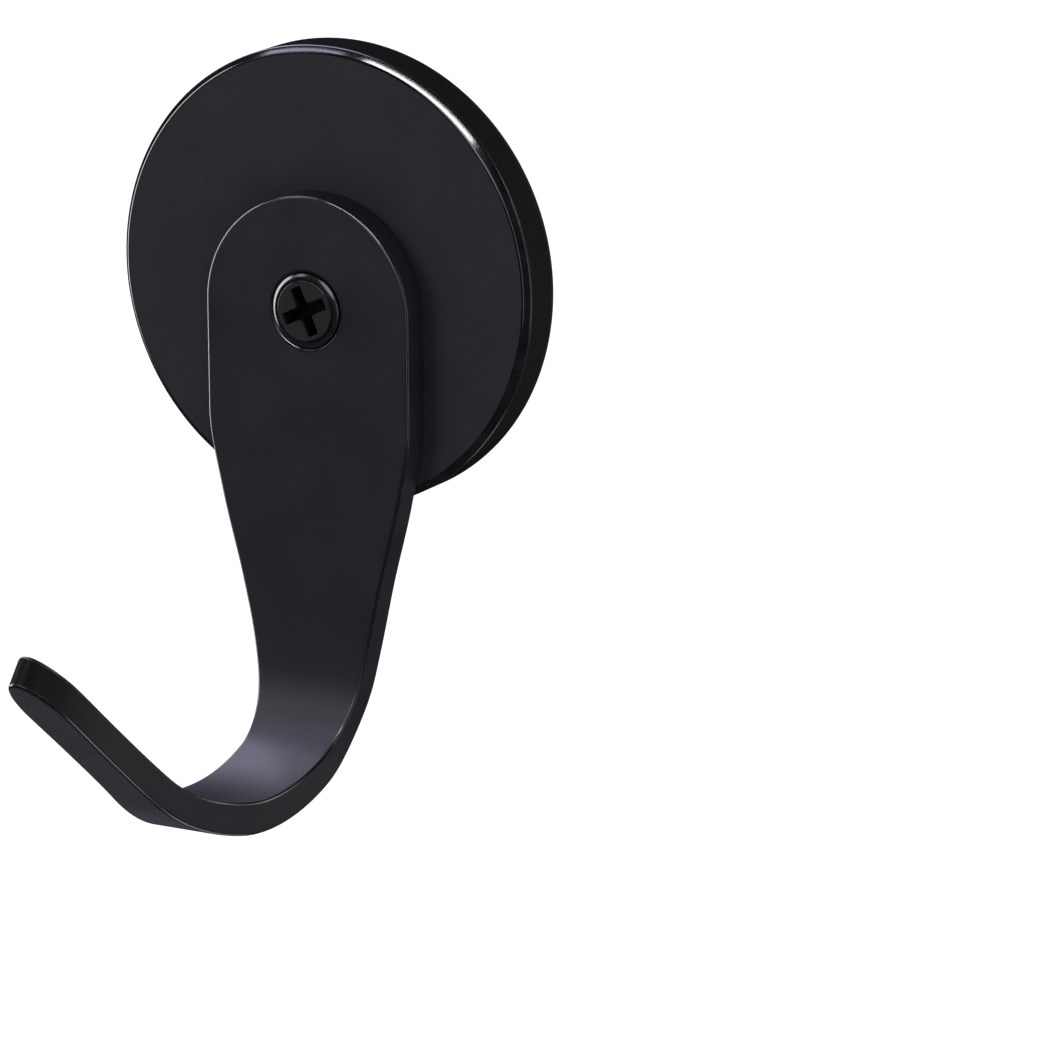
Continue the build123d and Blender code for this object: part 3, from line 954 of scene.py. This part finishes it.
# %% [markdown]
# ## Lamps behind
# The bend mirrors what stands behind and above the hook. The rear panel draws its violet sheen, and the strip on the
# left carries the sheen down to the lowest point. The strap's own upright part would cut the sheen in half, so the
# panel's blocker collection leaves the strap out: its shadow doesn't count for this one lamp. The two lamps on the
# right draw the side walls of the strap and the disc.

# %% Rear lamps
soft_light("rear_left_strip", (-0.63, 0.43, 0.38), (0.26, 0.38, 0.08), (0.44, 0.26), 5.0, VIOLET)
rear_panel = soft_light("rear_panel", (-0.39, 0.3, 0.65), (0.7, 0.7, 0.0), (0.52, 0.5), 4.2, DEEP_VIOLET)
lets_through = bpy.data.collections.new("lets_rear_panel_through")
lets_through.objects.link(strap)
lets_through.collection_objects[0].light_linking.link_state = "EXCLUDE"
rear_panel.light_linking.blocker_collection = lets_through
soft_light("rear_right_panel", (0.4, 0.76, 0.26), (0.9, -0.45, 0.0), (0.4, 0.25), 2.4)
soft_light("low_right_reflector", (0.42, 0.7, -0.19), (0.9, -0.45, 0.0), (0.44, 0.34), 0.4)

# %% [markdown]
# ## Lamps on the right, below and on the backdrop
# A warm light on the right, never mirrored, lifts the matt side walls, and the two panels beside it draw thin lines on
# the right edges. Of the two reflectors below, one draws the line under the lowest point and the other shows in the
# outer face of the leg. The last lamp hangs behind the hook, turned straight down, and keeps the backdrop white.

# %% Right, low and backdrop lamps
soft_light("side_light", (0.84, -0.09, 0.1), (0.0, 1.0, 0.0), (0.6, 0.6), 5.5, WARM, gloss=False)
soft_light("right_panel", (0.86, 0.12, 0.02), (0.0, 1.0, 0.0), (0.25, 0.8), 1.6)
soft_light("front_right_softbox", (0.56, -0.68, 0.12), (0.8, 0.62, 0.0), (0.2, 0.9), 1.6)
soft_light("under_reflector", (0.15, 0.14, -0.36), (1.0, 0.0, 0.0), (0.14, 0.14), 2.0)
soft_light("leg_reflector", (-0.24, 0.2, -0.39), (1.0, 0.0, 0.0), (0.3, 0.3), 0.3, FAINT_VIOLET)
backdrop = soft_light("backdrop_light", (-1.1, 1.9, 0.8), (1.0, 0.0, 0.0), (2.6, 2.6), 1.3, gloss=False)
backdrop.matrix_world = Matrix.Translation((-1.1, 1.9, 0.8))
bpy.context.scene.view_settings.view_transform = "Standard"

# %% [markdown]
# ## The camera
# The hook is seen from its right and from a little above, through a long lens. The camera is set by those two angles
# and a small roll. It looks along that line, and it is moved sideways, not turned, so that the hook's middle lies at
# the wanted pixel. A turned camera would change the angles that were measured.

# %% Camera
AZIMUTH, ELEVATION, ROLL = np.radians(29.1), np.radians(14.8), np.radians(-0.33)
DISTANCE, PICTURE, PIXELS_PER_MM, SENSOR = 0.6, 1053, 10.88, 36.0
ORIGIN_PIXEL = (350.0, 268.2)
flat_share = np.cos(ELEVATION)
back = Vector((np.sin(AZIMUTH) * flat_share, -np.cos(AZIMUTH) * flat_share, np.sin(ELEVATION)))
level = Vector((np.cos(AZIMUTH), np.sin(AZIMUTH), 0))
upward = back.cross(level)
right = level * np.cos(ROLL) + upward * np.sin(ROLL)
up = upward * np.cos(ROLL) - level * np.sin(ROLL)
offset_x = (ORIGIN_PIXEL[0] - PICTURE / 2) / PIXELS_PER_MM * MM
offset_y = (PICTURE / 2 - ORIGIN_PIXEL[1]) / PIXELS_PER_MM * MM
camera_data = bpy.data.cameras.new("camera")
camera_data.sensor_width = SENSOR
camera_data.lens = SENSOR * PIXELS_PER_MM / MM * DISTANCE / PICTURE
camera_data.clip_start, camera_data.clip_end = 0.01, 50.0
camera = bpy.data.objects.new("camera", camera_data)
bpy.context.scene.collection.objects.link(camera)
turn = Matrix((right, up, back)).transposed().to_4x4()
camera.matrix_world = Matrix.Translation(back * DISTANCE - right * offset_x - up * offset_y) @ turn
bpy.context.scene.camera = camera
print("a lens of", round(camera_data.lens, 1), "mm,", DISTANCE, "m away")
